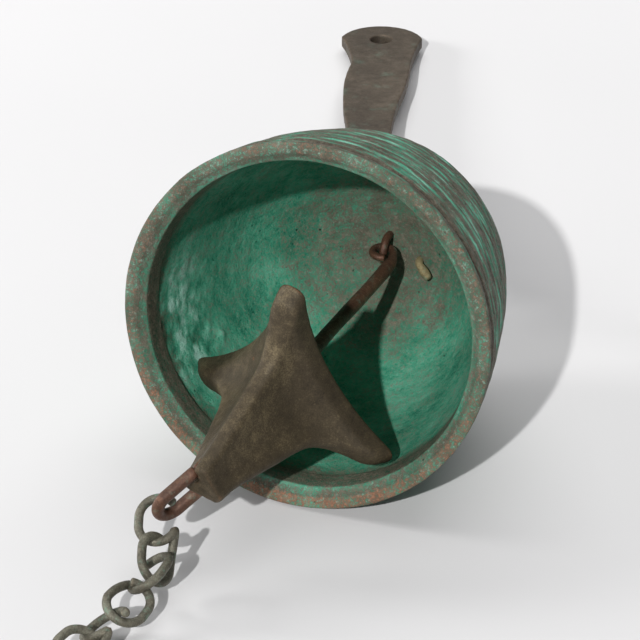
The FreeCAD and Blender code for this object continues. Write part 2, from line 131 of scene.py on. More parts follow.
def tube(name, path, radii, matrix=None, sides=18, blunt=0.45):
    """A wire along a path of points, with blunt ends; radii is one number or one for each point."""
    points = [Vector(point) for point in path]
    sizes = list(radii) if isinstance(radii, (list, tuple)) else [radii] * len(points)
    lead = (points[0] - points[1]).normalized()
    tail = (points[-1] - points[-2]).normalized()

    def cap(point, away, radius, degrees):
        turn = math.radians(degrees)
        return point + away * radius * blunt * math.sin(turn), radius * math.cos(turn)

    front = [cap(points[0], lead, sizes[0], degrees) for degrees in (90, 68, 45, 22)]
    back = [cap(points[-1], tail, sizes[-1], degrees) for degrees in (22, 45, 68, 90)]
    rings = front + list(zip(points, sizes)) + back
    centres = [centre for centre, _ in rings]
    side = lead.orthogonal().normalized()
    vertices = []
    for index, (centre, radius) in enumerate(rings):
        before = centres[max(index - 1, 0)]
        after = centres[min(index + 1, len(rings) - 1)]
        along = (after - before).normalized()
        side = (side - along * side.dot(along)).normalized()
        across = along.cross(side)
        for step in range(sides):
            turn = 2 * math.pi * step / sides
            vertices.append(centre + (side * math.cos(turn) + across * math.sin(turn)) * max(radius, 1e-5))
    return add_mesh(name, vertices, capped_bands(len(rings), sides), matrix)


def oval_path(gauge, reach, start, share, steps=72):
    """The centre line of an oval in local XZ, from a share of its length on, for another share."""
    side = reach - gauge
    total = 2 * side + math.pi * gauge
    radius = gauge / 2
    points = []
    for step in range(steps + 1):
        run = (start + share * step / steps) % 1 * total
        if run < side:
            points.append(Vector((-radius, 0, radius + run)))
        elif run < side + math.pi * radius:
            turn = (run - side) / radius
            points.append(Vector((-radius * math.cos(turn), 0, reach - radius + radius * math.sin(turn))))
        elif run < 2 * side + math.pi * radius:
            points.append(Vector((radius, 0, reach - radius - (run - side - math.pi * radius))))
        else:
            turn = (run - 2 * side - math.pi * radius) / radius
            points.append(Vector((radius * math.cos(turn), 0, radius - radius * math.sin(turn))))
    return points


# ---------------------------------------------------------------- the bell

BELL_OUTSIDE = [((0, 87), (34, 76), -58), ((34, 76), (45.5, 57), -40), ((45.5, 57), (57.5, 0), -310)]
BELL_LIP = [((57.5, 0), (54.2, 0), None), ((54.2, 0), (51, 2.5), None), ((51, 2.5), (50, 10), None)]
BELL_INSIDE = [((50, 10), (39.3, 52), 168), ((39.3, 52), (24.8, 72), 50), ((24.8, 72), (0, 80), 42.5)]
RIM_GROOVE = (4.2, 1.0, 0.95)
# Height, half width and depth of the grooves that run round the outside.
GROOVES = [
    RIM_GROOVE,
    (8.6, 0.9, 0.45),
    (13.4, 1.5, 0.6),
    (19.2, 1.0, 0.45),
    (24.0, 1.7, 0.65),
    (30.4, 1.1, 0.45),
    (35.2, 1.6, 0.6),
    (41.6, 1.2, 0.5),
    (47.0, 1.7, 0.6),
    (53.6, 1.2, 0.45),
    (59.2, 1.6, 0.5),
    (65.0, 1.2, 0.4),
    (70.6, 1.5, 0.4),
]
# Where the softened rim face and the bevel inside it end.
RIM_FACE_TOP, BEVEL_TOP = 0.45, 2.7
# Rounds of smoothing that take the sharpness off the corners of the section.
CORNER_SOFTNESS = 3
# Spacing of the points along each part of the section.
PROFILE_SPACING = {"outside": 0.75, "lip": 0.45, "inside": 0.75}


def arc(start, end, radius, spacing):
    """Points at about this spacing from start to short of end, on a line or on an arc of this radius."""
    a, b = Vector(start), Vector(end)
    steps = max(2, round((b - a).length / spacing))
    if radius is None:
        return [a.lerp(b, step / steps) for step in range(steps)]
    half = (b - a).length / 2
    normal = Vector((a.y - b.y, b.x - a.x)).normalized()
    centre = (a + b) / 2 + normal * math.copysign(math.sqrt(radius**2 - half**2), radius)
    sweep = 2 * math.asin(half / abs(radius)) * math.copysign(1, radius)
    first = math.atan2(a.y - centre.y, a.x - centre.x)
    turns = [first + sweep * step / steps for step in range(steps)]
    return [centre + Vector((math.cos(t), math.sin(t))) * abs(radius) for t in turns]


def bell_profile():
    """Points (radius, height, part) of the section of the bell, from top outside to top inside."""
    points = []
    for part, pieces in (("outside", BELL_OUTSIDE), ("lip", BELL_LIP), ("inside", BELL_INSIDE)):
        for start, end, radius in pieces:
            points += [(p.x, p.y, part) for p in arc(start, end, radius, PROFILE_SPACING[part])]
    points.append((*BELL_INSIDE[-1][1], "inside"))
    for _ in range(CORNER_SOFTNESS):
        inner = [
            ((a[0] + 2 * b[0] + c[0]) / 4, (a[1] + 2 * b[1] + c[1]) / 4, b[2])
            for a, b, c in zip(points, points[1:], points[2:])
        ]
        points = [points[0]] + inner + [points[-1]]
    return points


def groove_depth(height):
    """How deep the grooves of the outside are at a height."""
    return max(depth * math.exp(-(((height - middle) / half) ** 2)) for middle, half, depth in GROOVES)


def bell_tones(height, part, groove):
    """How brown and how pale a point of the bell is, from 0 to 1 each, and how worn its edge is."""
    worn = 0.0
    if part == "outside":
        # Green sits in the grooves and brown shows on the ridges between them.
        hollow = min(groove, 0.6)
        brown = 0.6 - 0.5 * hollow
        pale = 0.36 + 0.4 * hollow
        if abs(height - RIM_GROOVE[0]) < 1.6:
            brown, pale = 0.95, 0.0
        worn = 0.8 * max(0.0, 1 - height / 1.2)
    elif part == "lip" and height < RIM_FACE_TOP:
        brown, pale, worn = 0.57, 0.6, 0.3
    elif part == "lip" and height < BEVEL_TOP:
        slope = min(1.0, height / 2.5)
        brown, pale = 0.62 - 0.24 * slope, 0.4 + 0.1 * slope
    elif part == "lip":
        brown, pale = 0.55, 0.2
    else:
        # Brown again just past the straight band, and round the wires of the crown.
        crown = max(0.0, (height - 62) / 18)
        band = max(0.0, 1 - (height - 10) / 6)
        brown = 0.16 + 0.3 * band + 0.42 * crown
        pale = 0.42 - 0.2 * band - 0.1 * crown
    return brown, pale, worn


# Where the thickest patina grows on the inside: its middle and reach, round the bell and up it.
CRUST_TURN, CRUST_SPREAD = math.radians(159), math.radians(25)
CRUST_HEIGHT, CRUST_REACH = 20, 14
# Turn in degrees, height, radius and rise of the lumps that stand up there.
LUMPS = [(151, 36, 2.0, 1.3), (157, 33, 1.3, 0.7), (168, 24, 1.2, 0.5)]


def crust(turn, height):
    """How thickly the patina has grown at a point of the inside, from 0 to 1."""
    round_off = (turn - CRUST_TURN) / CRUST_SPREAD
    height_off = (height - CRUST_HEIGHT) / CRUST_REACH
    return math.exp(-(round_off**2) - height_off**2)


def lumps(turn, height, radius):
    """How far the lumps stand up at a point of the inside."""
    rise = 0.0
    for lump_turn, lump_height, lump_radius, lump_rise in LUMPS:
        off = math.hypot((turn - math.radians(lump_turn)) * radius, height - lump_height)
        rise += lump_rise * math.exp(-((off / lump_radius) ** 2))
    return rise


# How much of the cast unevenness the lip keeps, after it was turned flat.
LIP_STRENGTH = 0.35
# How strongly streaks that run round the bell change its colour.
STREAKS = {"outside": 0.6, "lip": 0.1, "inside": 0.05}
# How far the side of the rim that the bell lies on is rubbed to the metal, and up to what height.
RUBBED_RIM, RUBBED_HEIGHT = 0.26, 1.5


def bell_point(radius, height, part, turn, groove):
    """A point of the bell, moved off its section by the unevenness of the casting and by the grooves."""
    wobble = noise.fractal(Vector((math.cos(turn), math.sin(turn), height / 60)) * 1.3, 1.0, 2.0, 3)
    spot = Vector((radius * math.cos(turn), radius * math.sin(turn), height))
    cast = 0.24 * bumps(spot, 13, 2.0) + 0.10 * bumps(spot, 2.4, 5.0, 3)
    if part == "inside":
        cast += crust(turn, height) * (0.45 * bumps(spot, 4.5, 9.0, 4) + 0.1)
        cast += lumps(turn, height, radius)
    outward = -1 if part == "inside" else 1
    strength = LIP_STRENGTH if part == "lip" else 1.0
    lift = outward * strength * (cast - 0.2) - groove * (1 + 0.5 * wobble)
    reach = max(radius + lift - 0.18 * abs(wobble), 0) if radius > 0.5 else radius
    rise = height + (lift if radius < 20 and part != "lip" else 0)
    return Vector((reach * math.cos(turn), reach * math.sin(turn), rise)) * MM


def streaked(tones, radius, height, part, turn):
    """The brown, pale and worn of a height of the bell, changed by streaks, crust and rubbing."""
    brown, pale, worn = tones
    around = Vector((math.cos(turn) * radius / 9, math.sin(turn) * radius / 9, height / 1.5))
    streak = STREAKS[part] * noise.fractal(around, 0.9, 2.0, 3)
    grown = 0.0
    if part == "inside":
        spot = Vector((radius * math.cos(turn), radius * math.sin(turn), height))
        grown = crust(turn, height) * (0.3 + 0.7 * bumps(spot, 3.6, 4.0))
    elif height < RUBBED_HEIGHT:
        worn += RUBBED_RIM * max(0.0, math.sin(turn))
    return brown + streak - 0.4 * grown, pale - 0.5 * streak + grown, worn


def build_bell(segments=240):
    """The bell turned from its section, with three attributes that say how its patina lies."""
    profile = bell_profile()
    vertices, tones = [], []
    for radius, height, part in profile:
        groove = groove_depth(height) if part == "outside" and radius > 20 else 0.0
        level_tones = bell_tones(height, part, groove)
        for step in range(segments):
            turn = 2 * math.pi * step / segments
            vertices.append(bell_point(radius, height, part, turn, groove))
            tones.append(streaked(level_tones, radius, height, part, turn))
    bell = add_mesh("bell", vertices, bands(len(profile), segments), BELL)
    for column, name in enumerate(("brown", "pale", "worn")):
        layer = bell.data.attributes.new(name, "FLOAT", "POINT")
        layer.data.foreach_set("value", [tone[column] for tone in tones])
    weld = bmesh.new()
    weld.from_mesh(bell.data)
    bmesh.ops.remove_doubles(weld, verts=weld.verts, dist=1e-6)
    weld.to_mesh(bell.data)
    weld.free()
    return bell


# ---------------------------------------------------------------- the clapper on its rod

PIVOT_DEPTH = 74.0
PIVOT = BELL @ Vector((0, 0, PIVOT_DEPTH * MM))
CLAPPER_BASE = Vector((-3.4, 1.5, 41.1)) * MM + TABLE_SHIFT
# Centre of the rod to the centre of its eye.
ROD_OFFSET = 4.8
CLAPPER = axes(CLAPPER_BASE, Vector((-0.23, -0.934, -0.273)), Vector((0.785, -0.012, -0.619)))
# Height above the back of the clapper, reach of its corners and their rounding.
CLAPPER_SECTIONS = [
    (0, 40.0, 4.6),
    (5.5, 36.0, 4.4),
    (8.4, 29.5, 3.8),
    (12.2, 22.2, 3.4),
    (17.5, 17.4, 3.2),
    (29.4, 13.2, 3.0),
    (38, 10.4, 2.9),
    (45, 8.4, 2.9),
    (51, 7.6, 2.9),
]
# How far its sides curve in, as a share of the reach beyond the end of the stem.
CLAPPER_HOLLOW = 0.21
# Height and inset of the layers that round off its back and the end of its stem.
BACK_EDGE = [(0, 1.2), (0.25, 0.6), (0.8, 0.15)]
FRONT_EDGE = [(50.5, 0.15), (50.8, 0.45), (51, 1.0)]
RING_TOP = Vector((-14.6, -39.6, 29.2)) * MM + TABLE_SHIFT
RING = axes(RING_TOP, Vector((-0.60, -0.57, -0.56)), Vector((0.12, 0.616, -0.776)))


def rod_axes():
    """The frame of the rod: its eye at the origin, the clapper along +Z, the rod itself beside the eye."""
    reach = CLAPPER_BASE - PIVOT
    side = (Vector((1, 0, 0)) - reach * (reach.x / reach.length_squared)).normalized()
    return axes(PIVOT, reach - side * ROD_OFFSET * MM, Vector((1, 0, 0)))


def scaled(points):
    """Points given in millimetres, in metres."""
    return [Vector(point) * MM for point in points]


def build_rod():
    """A rod drawn down at its top and bent into an eye."""
    path, radii = [], []
    for z in range(72, 6, -3):
        path.append((ROD_OFFSET + 0.25 * math.sin(z / 9), 0.15 * math.sin(z / 7), z))
        radii.append(2.15 + 0.05 * math.sin(z / 4))
    path += [(4.75, 0, 5), (4.5, 0, 3)]
    radii += [1.95, 1.6]
    for degrees in range(10, 300, 12):
        turn = math.radians(degrees)
        path.append((3.3 * math.cos(turn), 0.35 * math.sin(turn / 2), -3.2 * math.sin(turn)))
        radii.append(1.25)
    return tube("rod", scaled(path), [radius * MM for radius in radii], rod_axes(), blunt=0.3)


def fin_section(reach, corner, sides=18, corner_steps=12):
    """The outline of the clapper at one height: three blunt corners joined by hollow sides."""
    out = reach - corner
    hollow = 0.1 + CLAPPER_HOLLOW * max(reach - CLAPPER_SECTIONS[-1][1], 0)
    inner = out / 2 - hollow
    side_out = (out**2 - inner**2) / (2 * hollow)
    side_radius = side_out - inner - corner
    opening = math.atan2(out * math.sin(math.pi / 3), side_out - out / 2)
    half = math.radians(60) + opening
    points = []
    for k in range(3):
        turn = math.radians(120 * k)
        middle = Vector((math.cos(turn), math.sin(turn))) * out
        for step in range(corner_steps + 1):
            share = step / corner_steps * 2 - 1
            angle = turn + half * share
            blunt = 1 - 0.10 * math.exp(-((share * 2.6) ** 2))
            points.append(middle + Vector((math.cos(angle), math.sin(angle))) * corner * blunt)
        facing = turn + math.radians(60)
        side_middle = Vector((math.cos(facing), math.sin(facing))) * side_out
        for step in range(1, sides):
            angle = facing + math.pi + opening * (1 - 2 * step / sides)
            points.append(side_middle + Vector((math.cos(angle), math.sin(angle))) * side_radius)
    return points


def build_clapper():
    """The cast clapper: layer on layer of three-cornered outlines, from the fins to the end of the stem."""
    layers = smooth_curve(CLAPPER_SECTIONS, 7)
    _, base_reach, base_corner = layers[0]
    _, top_reach, top_corner = layers[-1]
    back = [(height, base_reach - inset, base_corner - inset / 2) for height, inset in BACK_EDGE]
    front = [(height, top_reach - inset, top_corner - inset / 2) for height, inset in FRONT_EDGE]
    layers = back + [layer for layer in layers if 1.5 < layer[0] < 50.2] + front
    vertices = []
    for height, reach, corner in layers:
        outline = fin_section(reach, corner)
        count = len(outline)
        for point in outline:
            spot = Vector((point.x, point.y, height))
            cast = 1 + (0.16 * bumps(spot, 9, 3.0) + 0.05 * bumps(spot, 1.8, 8.0, 3) - 0.12) / max(reach, 6)
            vertices.append(Vector((point.x * cast, point.y * cast, height)) * MM)
    return add_mesh("clapper_cast", vertices, capped_bands(len(layers), count), CLAPPER)


def cut(piece, tool):
    """Cut a tool away from a piece, and delete the tool."""
    boolean = piece.modifiers.new("cut", "BOOLEAN")
    boolean.operation = "DIFFERENCE"
    boolean.solver = "EXACT"
    boolean.object = tool
    apply_modifiers(piece)
    bpy.data.objects.remove(tool)


def soften(piece, voxel, rounds):
    """Rebuild a piece from small cells of one size and smooth it, as a casting softens its edges."""
    remesh = piece.modifiers.new("cells", "REMESH")
    remesh.mode = "VOXEL"
    remesh.voxel_size = voxel * MM
    remesh.use_smooth_shade = True
    smooth = piece.modifiers.new("smooth", "SMOOTH")
    smooth.factor = 0.5
    smooth.iterations = rounds
    apply_modifiers(piece)
    piece.data.shade_smooth()


# ---------------------------------------------------------------- wires, laid out as on the table

STAPLE = BELL @ axes(Vector((0, 0, PIVOT_DEPTH * MM)), Vector((0, 0, 1)), Vector((0, 1, 0)))
# Play between two wires that hook over each other.
HOOK_PLAY = 0.2
STUB_PLACE = Vector((10.8, 2.0, 76.5))
STUB_HEADING = 40
# The share of a ring's length that its wire fills, and of a wire's width that is drawn, inside its solid.
CLOSED_SHARE = 0.975
VISUAL_WIRE = 0.99
# The cored channel through the stem that the clapper ring runs in.
CHANNEL_WIRE = 5.8
# Wires bent into loops: width and length along the centre line, wire, start and twist of the far loop.
LINK_TWIST = -60
LINK = {"gauge": 11.6, "reach": 14.2, "wire": 2.7, "start": 12.6, "twist": LINK_TWIST}
SMALL = {"gauge": 11.0, "reach": 16.0, "wire": 3.0, "start": 0.0, "twist": 0.0}
CLAPPER_RING = {"gauge": 10.0, "reach": 19.6, "wire": 3.8, "start": 0.0, "twist": 0.0}
STAPLE_WIRE = {"gauge": 8.6, "reach": 26.0, "wire": 2.6, "start": 0.0, "twist": 0.0}
# Heading, pitch, extra slack and roll of each piece that hooks on, from the bell outwards.
CHAIN_LAY = [
    (18, -30, 1.2, 0),
    (-8, -11, 5.5, 0),
    (-14, -3, 0, -30),
    (-8, 0, 0, -30),
    (-3, 0, 0, -30),
    (2, 1, 0, -30),
    (6, 2, 0, -30),
    (10, 2, 0, -30),
]
SAIL_RING_LAY = (8, 1, 0, 0)
SAIL_LAY = (4, -2.3)
HANGER_LAY = [(215, -36, 0, 0), (214, -20, 0, 0)]
PLATE_RING_LAY = (212, -8, 0, 0)
PLATE_LAY = (197, -3.5)


def direction(heading, pitch):
    """The direction at a heading from -Y, anticlockwise from above, and a pitch above the level."""
    level = math.cos(math.radians(pitch))
    turn = math.radians(heading)
    return Vector((math.sin(turn) * level, -math.cos(turn) * level, math.sin(math.radians(pitch))))


def far_end(matrix, kind):
    """Where the next piece hooks on: middle and normal of the far loop, radius and wire."""
    start = Matrix.Translation((0, 0, kind["start"] * MM))
    turned = matrix @ start @ Matrix.Rotation(math.radians(kind["twist"]), 4, "Z")
    radius = kind["gauge"] / 2
    middle = turned @ Vector((0, 0, (kind["reach"] - radius) * MM))
    normal = turned.to_3x3() @ Vector((0, 1, 0))
    return middle, normal, radius * MM, kind["wire"]


def pin(end, away):
    """The point of the wire that a pull in this direction bears on, and the line of the wire there."""
    middle, normal, radius, _ = end
    level = (away - normal * away.dot(normal)).normalized()
    return middle + level * radius, normal.cross(level)


def hooked(end, wire, lay):
    """The matrix of a piece of wire that hooks over this end."""
    heading, pitch, slack, roll = lay
    away = direction(heading, pitch)
    point, tangent = pin(end, away)
    top = point - away * ((end[3] + wire) / 2 + HOOK_PLAY + slack) * MM
    return axes(top, away, tangent.cross(away)) @ Matrix.Rotation(math.radians(roll), 4, "Z")


def link_path(number):
    """A figure-eight link bent from one wire.

    The far loop closes at the waist. The near loop stays open: about 9 mm of one of its sides is missing.
    """
    gauge, reach = LINK["gauge"], LINK["reach"]
    slip = 0.012 * math.sin(number * 2.1)
    near = oval_path(gauge, reach, 0.66 + slip, 0.84, 60)
    far = oval_path(gauge, reach, 0.985, 0.86, 60)
    turn = Matrix.Rotation(math.radians(LINK_TWIST), 3, "Z")
    near = [Vector((-point.x, 0, point.z)) for point in near]
    far = [turn @ point + Vector((0, 0, LINK["start"])) for point in far]
    joined = near + far
    middle = len(near)
    for _ in range(14):
        for index in range(middle - 7, middle + 7):
            joined[index] = (joined[index - 1] + joined[index] * 2 + joined[index + 1]) / 4
    return joined


def build_link(name, number, matrix):
    """One chain link, its bend a little different for each number."""
    return tube(name, scaled(link_path(number)), LINK["wire"] / 2 * MM * VISUAL_WIRE, matrix, sides=14)


def build_oval(name, kind, matrix, gap_at):
    """A ring bent from one wire, its ends nearly meeting at this share of its length."""
    path = oval_path(kind["gauge"], kind["reach"], gap_at, CLOSED_SHARE)
    return tube(name, scaled(path), kind["wire"] / 2 * MM * VISUAL_WIRE, matrix)


def build_stub():
    """The second wire through the crown, its inner end bent over against the bell."""
    path = [(0, 0, 11), (0, 0, 8), (0, 0, 4), (0, 0, 2), (0.15, 0, 1.0), (0.5, 0, 0.3), (1.1, 0, -0.35)]
    path += [(1.1 + 0.93 * run, 0, -0.35 - 0.37 * run) for run in (1, 2, 3, 4, 5)]
    radii = [1.25 * MM] * 7 + [1.3 * MM, 1.45 * MM, 1.5 * MM, 1.4 * MM, 1.2 * MM]
    turned = Matrix.Rotation(math.radians(STUB_HEADING), 4, "Z")
    return tube("stub", scaled(path), radii, BELL @ Matrix.Translation(STUB_PLACE * MM) @ turned)


# ---------------------------------------------------------------- cast plates

OUTLINE_SPACING = 1.2


def plate_outline(corners, curves):
    """Points along an outline, from corner to corner on arcs of these radii."""
    points = []
    for index, curve in enumerate(curves):
        points += arc(corners[index], corners[(index + 1) % len(corners)], curve, OUTLINE_SPACING)
    return points


def build_plate(name, outline, holes, thickness, matrix, seed):
    """A flat cast plate, its edges softened and its faces a little uneven."""
    mesh = bmesh.new()
    low = [mesh.verts.new((point.x * MM, point.y * MM, 0)) for point in outline]
    base = mesh.faces.new(low)
    top = bmesh.ops.extrude_face_region(mesh, geom=[base])
    moved = [item for item in top["geom"] if isinstance(item, bmesh.types.BMVert)]
    bmesh.ops.translate(mesh, verts=moved, vec=(0, 0, thickness * MM))
    bmesh.ops.recalc_face_normals(mesh, faces=mesh.faces)
    data = bpy.data.meshes.new(name)
    mesh.to_mesh(data)
    mesh.free()
    plate = bpy.data.objects.new(name, data)
    bpy.context.scene.collection.objects.link(plate)
    for along, bore in holes:
        drill_path = scaled([(along, 0, -5), (along, 0, 0), (along, 0, 10)])
        drill = tube("drill", drill_path, bore / 2 * MM, sides=40)
        cut(plate, drill)
    soften(plate, voxel=0.55, rounds=5)
    for vertex in plate.data.vertices:
        spot = vertex.co / MM
        level = (spot.z / thickness - 0.5) * 2
        hollow = 0.10 * bumps(spot, 16, seed) + 0.05 * bumps(spot, 3.2, seed + 4, 3) - 0.12
        vertex.co.z += hollow * level * MM
    plate.data.transform(matrix)
    return plate


def plate_axes(end, lay, thickness):
    """The matrix that lays a plate flat in a direction, its first hole around a ring's far end."""
    away = direction(*lay)
    point, _ = pin(end, away)
    up = Vector((0, 0, 1)) - away * away.z
    return axes(point, up, away) @ Matrix.Translation((0, 0, -thickness / 2 * MM))


# Corners of the outlines from the ring hole outwards, and the radius of the curve after each corner.
SAIL_CORNERS = [(0, -7.2), (30, -21), (72, -37), (104, -24), (108, 12), (80, 33), (34, 24), (0, 7.2)]
SAIL_CURVES = [-70, 60, 38, 24, 40, -90, -60, 7.3]
SAIL_THICKNESS = 3.6
PLATE_CORNERS = [
    (0, -7.2),
    (66, -6.2),
    (96, -8.6),
    (126, -11.6),
    (152, -15.5),
    (152, 15),
    (128, 10.2),
    (100, 12.2),
    (66, 8.8),
    (0, 7.2),
]
PLATE_CURVES = [-400, -260, 170, -140, 16, -90, 120, 200, -500, 7.3]
PLATE_THICKNESS = 4.6
RING_HOLE, HANGING_BORE, HANGING_REACH = 6.0, 8.0, 150.0

# ---------------------------------------------------------------- materials


def tone(red, green, blue):
    """A colour given as it shows on a screen, from 0 to 255, as linear light."""
    def linear(value):
        share = value / 255
        return share / 12.92 if share <= 0.04045 else ((share + 0.055) / 1.055) ** 2.4

    return (linear(red), linear(green), linear(blue), 1)


class Paint:
    """A node material built up from noise at several sizes, in metres of the piece's own frame."""

    def __init__(self, name):
        self.material = bpy.data.materials.new(name)
        self.material.use_nodes = True
        self.nodes = self.material.node_tree.nodes
        self.links = self.material.node_tree.links
        self.shader = self.nodes["Principled BSDF"]
        self.place = self.nodes.new("ShaderNodeTexCoord").outputs["Object"]

    def value(self, socket, source):
        """Feed a socket from another one, or set it to a number or a colour."""
        if isinstance(source, bpy.types.NodeSocket):
            self.links.new(source, socket)
        else:
            socket.default_value = source

    def noise(self, size, detail=5.0, roughness=0.6, seed=0.0, stretch=(1, 1, 1)):
        """Noise with features of this size in millimetres."""
        mapping = self.nodes.new("ShaderNodeMapping")
        mapping.inputs["Location"].default_value = (seed, -seed, seed * 0.7)
        mapping.inputs["Scale"].default_value = stretch
        self.links.new(self.place, mapping.inputs["Vector"])
        node = self.nodes.new("ShaderNodeTexNoise")
        node.inputs["Scale"].default_value = 1 / (size * MM)
        node.inputs["Detail"].default_value = detail
        node.inputs["Roughness"].default_value = roughness
        self.links.new(mapping.outputs["Vector"], node.inputs["Vector"])
        return node.outputs["Fac"]

    def cells(self, size, seed=0.0):
        """Distance to the nearest of scattered points this far apart, in millimetres."""
        mapping = self.nodes.new("ShaderNodeMapping")
        mapping.inputs["Location"].default_value = (seed, seed, seed)
        self.links.new(self.place, mapping.inputs["Vector"])
        node = self.nodes.new("ShaderNodeTexVoronoi")
        node.inputs["Scale"].default_value = 1 / (size * MM)
        self.links.new(mapping.outputs["Vector"], node.inputs["Vector"])
        return node.outputs["Distance"]

    def attribute(self, name):
        """A value stored on the mesh."""
        node = self.nodes.new("ShaderNodeAttribute")
        node.attribute_name = name
        return node.outputs["Fac"]

    def total(self, *parts):
        """The sum of sources, each with its weight."""
        out = 0.0
        for source, weight in parts:
            out = self.math("ADD", self.math("MULTIPLY", source, weight), out)
        return out

    def math(self, operation, first, second=0.0, clamp=False):
        """A sum or product of two values."""
        node = self.nodes.new("ShaderNodeMath")
        node.operation = operation
        node.use_clamp = clamp
        self.value(node.inputs[0], first)
        self.value(node.inputs[1], second)
        return node.outputs["Value"]

    def spread(self, source, low, high, to_low=0.0, to_high=1.0):
        """The source between low and high stretched to another range, and held there beyond."""
        node = self.nodes.new("ShaderNodeMapRange")
        self.value(node.inputs["Value"], source)
        self.value(node.inputs["From Min"], low)
        self.value(node.inputs["From Max"], high)
        self.value(node.inputs["To Min"], to_low)
        self.value(node.inputs["To Max"], to_high)
        return node.outputs["Result"]

    def ramp(self, source, stops):
        """Colours along a value: a list of (place, colour)."""
        node = self.nodes.new("ShaderNodeValToRGB")
        elements = node.color_ramp.elements
        elements[0].position, elements[0].color = stops[0]
        elements[1].position, elements[1].color = stops[-1]
        for place, colour in stops[1:-1]:
            elements.new(place).color = colour
        self.value(node.inputs["Fac"], source)
        return node.outputs["Color"]

    def mix(self, share, first, second):
        """Two colours mixed by the share of the second."""
        node = self.nodes.new("ShaderNodeMix")
        node.data_type = "RGBA"
        self.value(node.inputs[0], share)
        self.value(node.inputs[6], first)
        self.value(node.inputs[7], second)
        return node.outputs[2]

    def bump(self, height, depth):
        """Relief of this depth in millimetres."""
        node = self.nodes.new("ShaderNodeBump")
        node.inputs["Distance"].default_value = depth * MM
        self.value(node.inputs["Height"], height)
        return node.outputs["Normal"]

    def finish(self, colour, roughness, metallic, normal=None, specular=0.4):
        """Set the shader, and give the finished material."""
        self.value(self.shader.inputs["Base Color"], colour)
        self.value(self.shader.inputs["Roughness"], roughness)
        self.value(self.shader.inputs["Metallic"], metallic)
        self.value(self.shader.inputs["Specular IOR Level"], specular)
        if normal is not None:
            self.value(self.shader.inputs["Normal"], normal)
        return self.material


def bell_material():
    """Green patina, brown on the high and worn places, with pits and flecks."""
    paint = Paint("bell_patina")
    broad = paint.noise(24, 5, 0.6)
    blotch = paint.noise(9, 6, 0.68, seed=0.9)
    small = paint.noise(2.8, 6, 0.72, seed=0.3)
    fine = paint.noise(0.9, 5, 0.78, seed=0.5)
    grain = paint.noise(0.34, 3, 0.7, seed=0.6)
    pits = paint.cells(3.1, seed=0.2)
    pale, brown, worn = (paint.attribute(name) for name in ("pale", "brown", "worn"))

    level = paint.total((broad, 0.55), (blotch, 0.5), (small, 0.4), (fine, 0.55), (grain, 0.2), (pale, 0.5))
    green = paint.ramp(
        paint.spread(level, 0.94, 1.56),
        [
            (0.0, tone(8, 62, 48)),
            (0.28, tone(26, 106, 82)),
            (0.55, tone(62, 150, 120)),
            (0.8, tone(104, 184, 154)),
            (1.0, tone(172, 220, 202)),
        ],
    )
    earth = paint.ramp(
        paint.total((small, 0.4), (fine, 0.4), (grain, 0.2)),
        [
            (0.34, tone(48, 42, 34)),
            (0.5, tone(92, 80, 68)),
            (0.62, tone(130, 118, 104)),
            (0.72, tone(168, 162, 148)),
        ],
    )
    copper = paint.ramp(fine, [(0.35, tone(112, 72, 52)), (0.65, tone(172, 116, 84))])
    cover = paint.total((blotch, 0.3), (small, 0.35), (fine, 0.6), (grain, 0.4))
    bare = paint.spread(paint.total((cover, 1.0), (brown, 0.4)), 0.86, 1.05, 0.0, 0.95)
    rubbed = paint.spread(paint.total((cover, 1.0), (worn, 0.4)), 0.97, 1.13, 0.0, 0.75)
    pit = paint.spread(paint.total((pits, 1.0), (blotch, 0.8)), 0.34, 0.45, 0.85, 0.0)
    speck = paint.spread(fine, 0.6, 0.68, 0.0, 0.45)
    flecks = paint.noise(1.4, 5, 0.8, seed=1.1)
    pale_share = paint.spread(pale, 0.2, 0.7, 0.0, 0.75)
    fleck = paint.math("MULTIPLY", paint.spread(flecks, 0.55, 0.66), pale_share)

    colour = paint.mix(speck, green, tone(26, 62, 50))
    colour = paint.mix(bare, colour, earth)
    colour = paint.mix(fleck, colour, tone(146, 188, 170))
    colour = paint.mix(rubbed, colour, copper)
    colour = paint.mix(pit, colour, tone(20, 36, 30))
    height = paint.total((small, 0.8), (fine, 0.5), (grain, 0.2), (pit, -0.6), (bare, -0.12))
    roughness = paint.spread(bare, 0, 1, 0.85, 0.6)
    metallic = paint.spread(bare, 0, 1, 0.0, 0.2)
    return paint.finish(colour, roughness, metallic, paint.bump(height, 0.9), specular=0.3)


def bronze_material(name, tones, rubbed_and_highlit_tone, rubbed_and_highlit_share, size=7.0, roughness=0.55, green=0.0):
    """Brown patinated bronze in three tones: mottled, sandy, rubbed on its edges with a painted highlight
    there too, and filmed with green.
    """
    dark, middle, light = tones
    paint = Paint(name)
    broad = paint.noise(size * 2.4, 5, 0.6)
    small = paint.noise(size * 0.45, 6, 0.7, seed=0.4)
    grain = paint.noise(0.5, 4, 0.8, seed=0.8)
    level = paint.total((broad, 0.5), (small, 0.35), (grain, 0.55))
    colour = paint.ramp(paint.spread(level, 0.5, 0.92), [(0.0, dark), (0.5, middle), (1.0, light)])
    sand = paint.spread(grain, 0.62, 0.72, 0.0, 0.5)
    colour = paint.mix(sand, colour, light)
    # Convex ridges turn towards the edge tone: partly rubbed metal, partly a painted highlight on the
    # ridges.
    shape = paint.nodes.new("ShaderNodeNewGeometry").outputs["Pointiness"]
    ridge = paint.spread(shape, 0.52, 0.60)
    rubbed = paint.math("MULTIPLY", ridge, paint.spread(small, 0.35, 0.6), clamp=True)
    colour = paint.mix(paint.math("MULTIPLY", rubbed, rubbed_and_highlit_share), colour, rubbed_and_highlit_tone)
    film = paint.spread(paint.noise(size * 0.9, 6, 0.7, seed=1.3), 0.56, 0.7, 0.0, green)
    colour = paint.mix(film, colour, tone(112, 142, 124))
    height = paint.total((small, 0.6), (grain, 0.5))
    shine = paint.spread(small, 0.3, 0.7, roughness + 0.12, roughness - 0.1)
    return paint.finish(colour, shine, 0.35, paint.bump(height, 0.25), specular=0.4)


# ---------------------------------------------------------------- building it all


